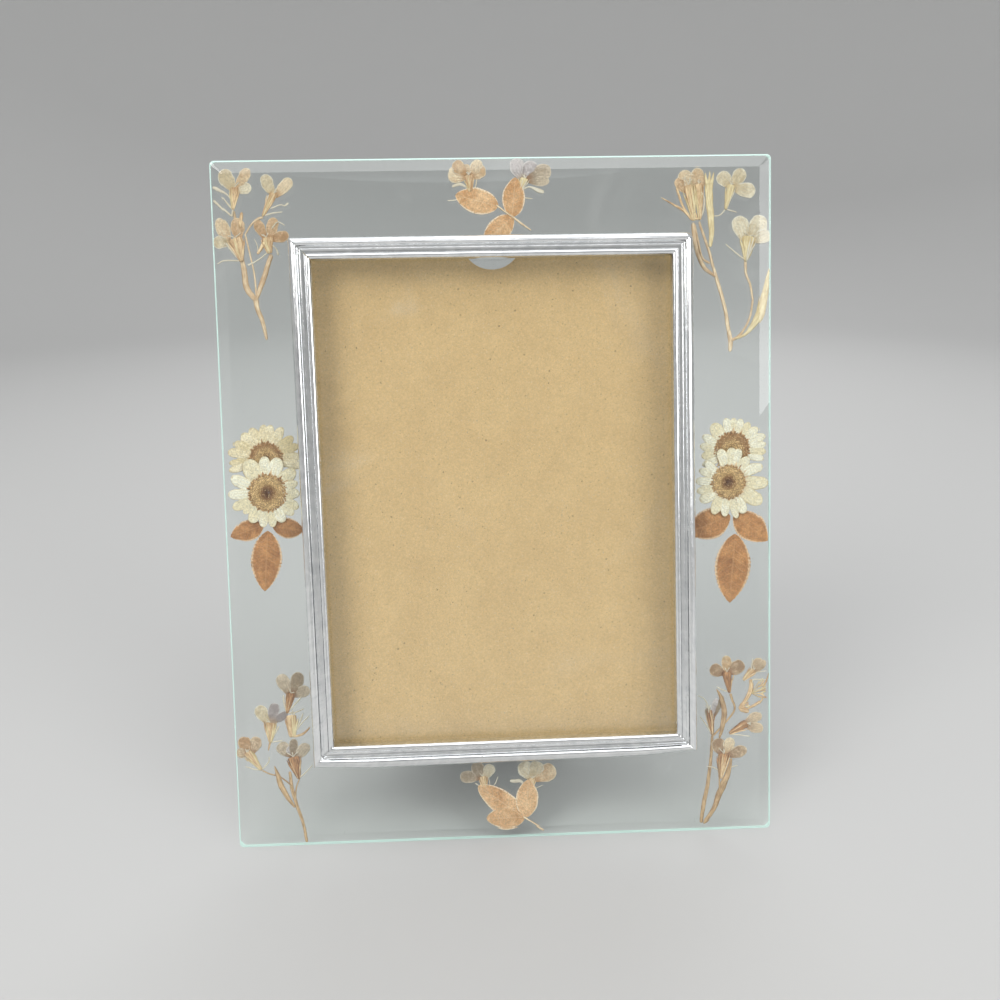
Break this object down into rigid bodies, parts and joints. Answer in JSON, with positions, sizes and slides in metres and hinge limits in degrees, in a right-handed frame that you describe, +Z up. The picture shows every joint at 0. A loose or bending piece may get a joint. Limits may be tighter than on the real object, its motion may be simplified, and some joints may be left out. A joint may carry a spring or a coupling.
{
  "type": "pressed flower frame",
  "caption": "Free-standing glass table frame with pressed dried flowers between two panes, a silver moulding round a photo window and an easel strut.",
  "frame": {"origin": "on the table, at the middle of the footprint", "axes": "+Z up, -Y the way the glass faces, +X to the viewer's right"},
  "size_m": [0.2032, 0.0926, 0.2478],
  "materials": {
    "glass": "clear float glass, polished bevel",
    "tape": "clear mounting tape",
    "silver": "bright, finely pitted",
    "kraft_board": "kraft chipboard, matte, black paper on the back",
    "steel": "zinc plated",
    "black_board": "black flocked board",
    "straw_stem": "dry straw",
    "cream_petal": "dry veined petal",
    "pale_petal": "dry thin petal",
    "dry_leaf": "dry veined leaf"
  },
  "bodies": {
    "frame": {"front_glass": "glass", "back_glass": "glass", "spacer_tape": "tape", "moulding": "silver", "backing_board": "kraft_board", "channel_left": "steel", "channel_right": "steel", "channel_bottom": "steel", "hinge_board_leaf": "steel", "hinge_pin": "steel", "hinge_rivet_1": "steel", "hinge_rivet_2": "steel", "top_left_stem": "straw_stem", "top_left_blossom_1": "pale_petal", "top_left_blossom_2": "pale_petal", "top_left_blossom_3": "pale_petal", "top_left_blossom_4": "pale_petal", "top_leaf_sprig": "dry_leaf", "top_blossom_left": "pale_petal", "top_blossom_right": "pale_petal", "top_right_stem": "straw_stem", "top_right_crumpled_blossom": "pale_petal", "top_right_bud": "straw_stem", "top_right_blossom_high": "pale_petal", "top_right_blossom_low": "pale_petal", "top_right_pod": "straw_stem", "left_daisy_back": "cream_petal", "left_daisy_front": "cream_petal", "left_leaf_outer": "dry_leaf", "left_leaf_inner": "dry_leaf", "left_leaf_long": "dry_leaf", "right_daisy_back": "cream_petal", "right_daisy_front": "cream_petal", "right_leaf_inner": "dry_leaf", "right_leaf_outer": "dry_leaf", "right_leaf_long": "dry_leaf", "bottom_left_stem": "straw_stem", "bottom_left_pod": "straw_stem", "bottom_left_blossom_1": "pale_petal", "bottom_left_blossom_2": "pale_petal", "bottom_left_blossom_3": "straw_stem", "bottom_left_blossom_4": "pale_petal", "bottom_left_blossom_5": "pale_petal", "bottom_leaf_sprig": "dry_leaf", "bottom_blossom_left": "pale_petal", "bottom_blossom_right": "pale_petal", "bottom_right_stem": "straw_stem", "bottom_right_pod": "straw_stem", "bottom_right_blade_leaf": "straw_stem", "bottom_right_blossom_1": "pale_petal", "bottom_right_blossom_2": "pale_petal", "bottom_right_blossom_3": "straw_stem", "bottom_right_blossom_4": "pale_petal", "bottom_right_blossom_5": "pale_petal", "bottom_right_blossom_6": "pale_petal"},
    "strut": {"strut": "black_board", "hinge_strut_leaf": "steel", "hinge_rivet_3": "steel", "hinge_rivet_4": "steel"}
  },
  "joints": [
    {"name": "strut_fold", "type": "hinge", "parent": "frame", "child": "strut", "pos_m": [0, 0.00164, 0.14409], "axis": [-1, 0, 0], "range_deg": [0, 30]}
  ]
}
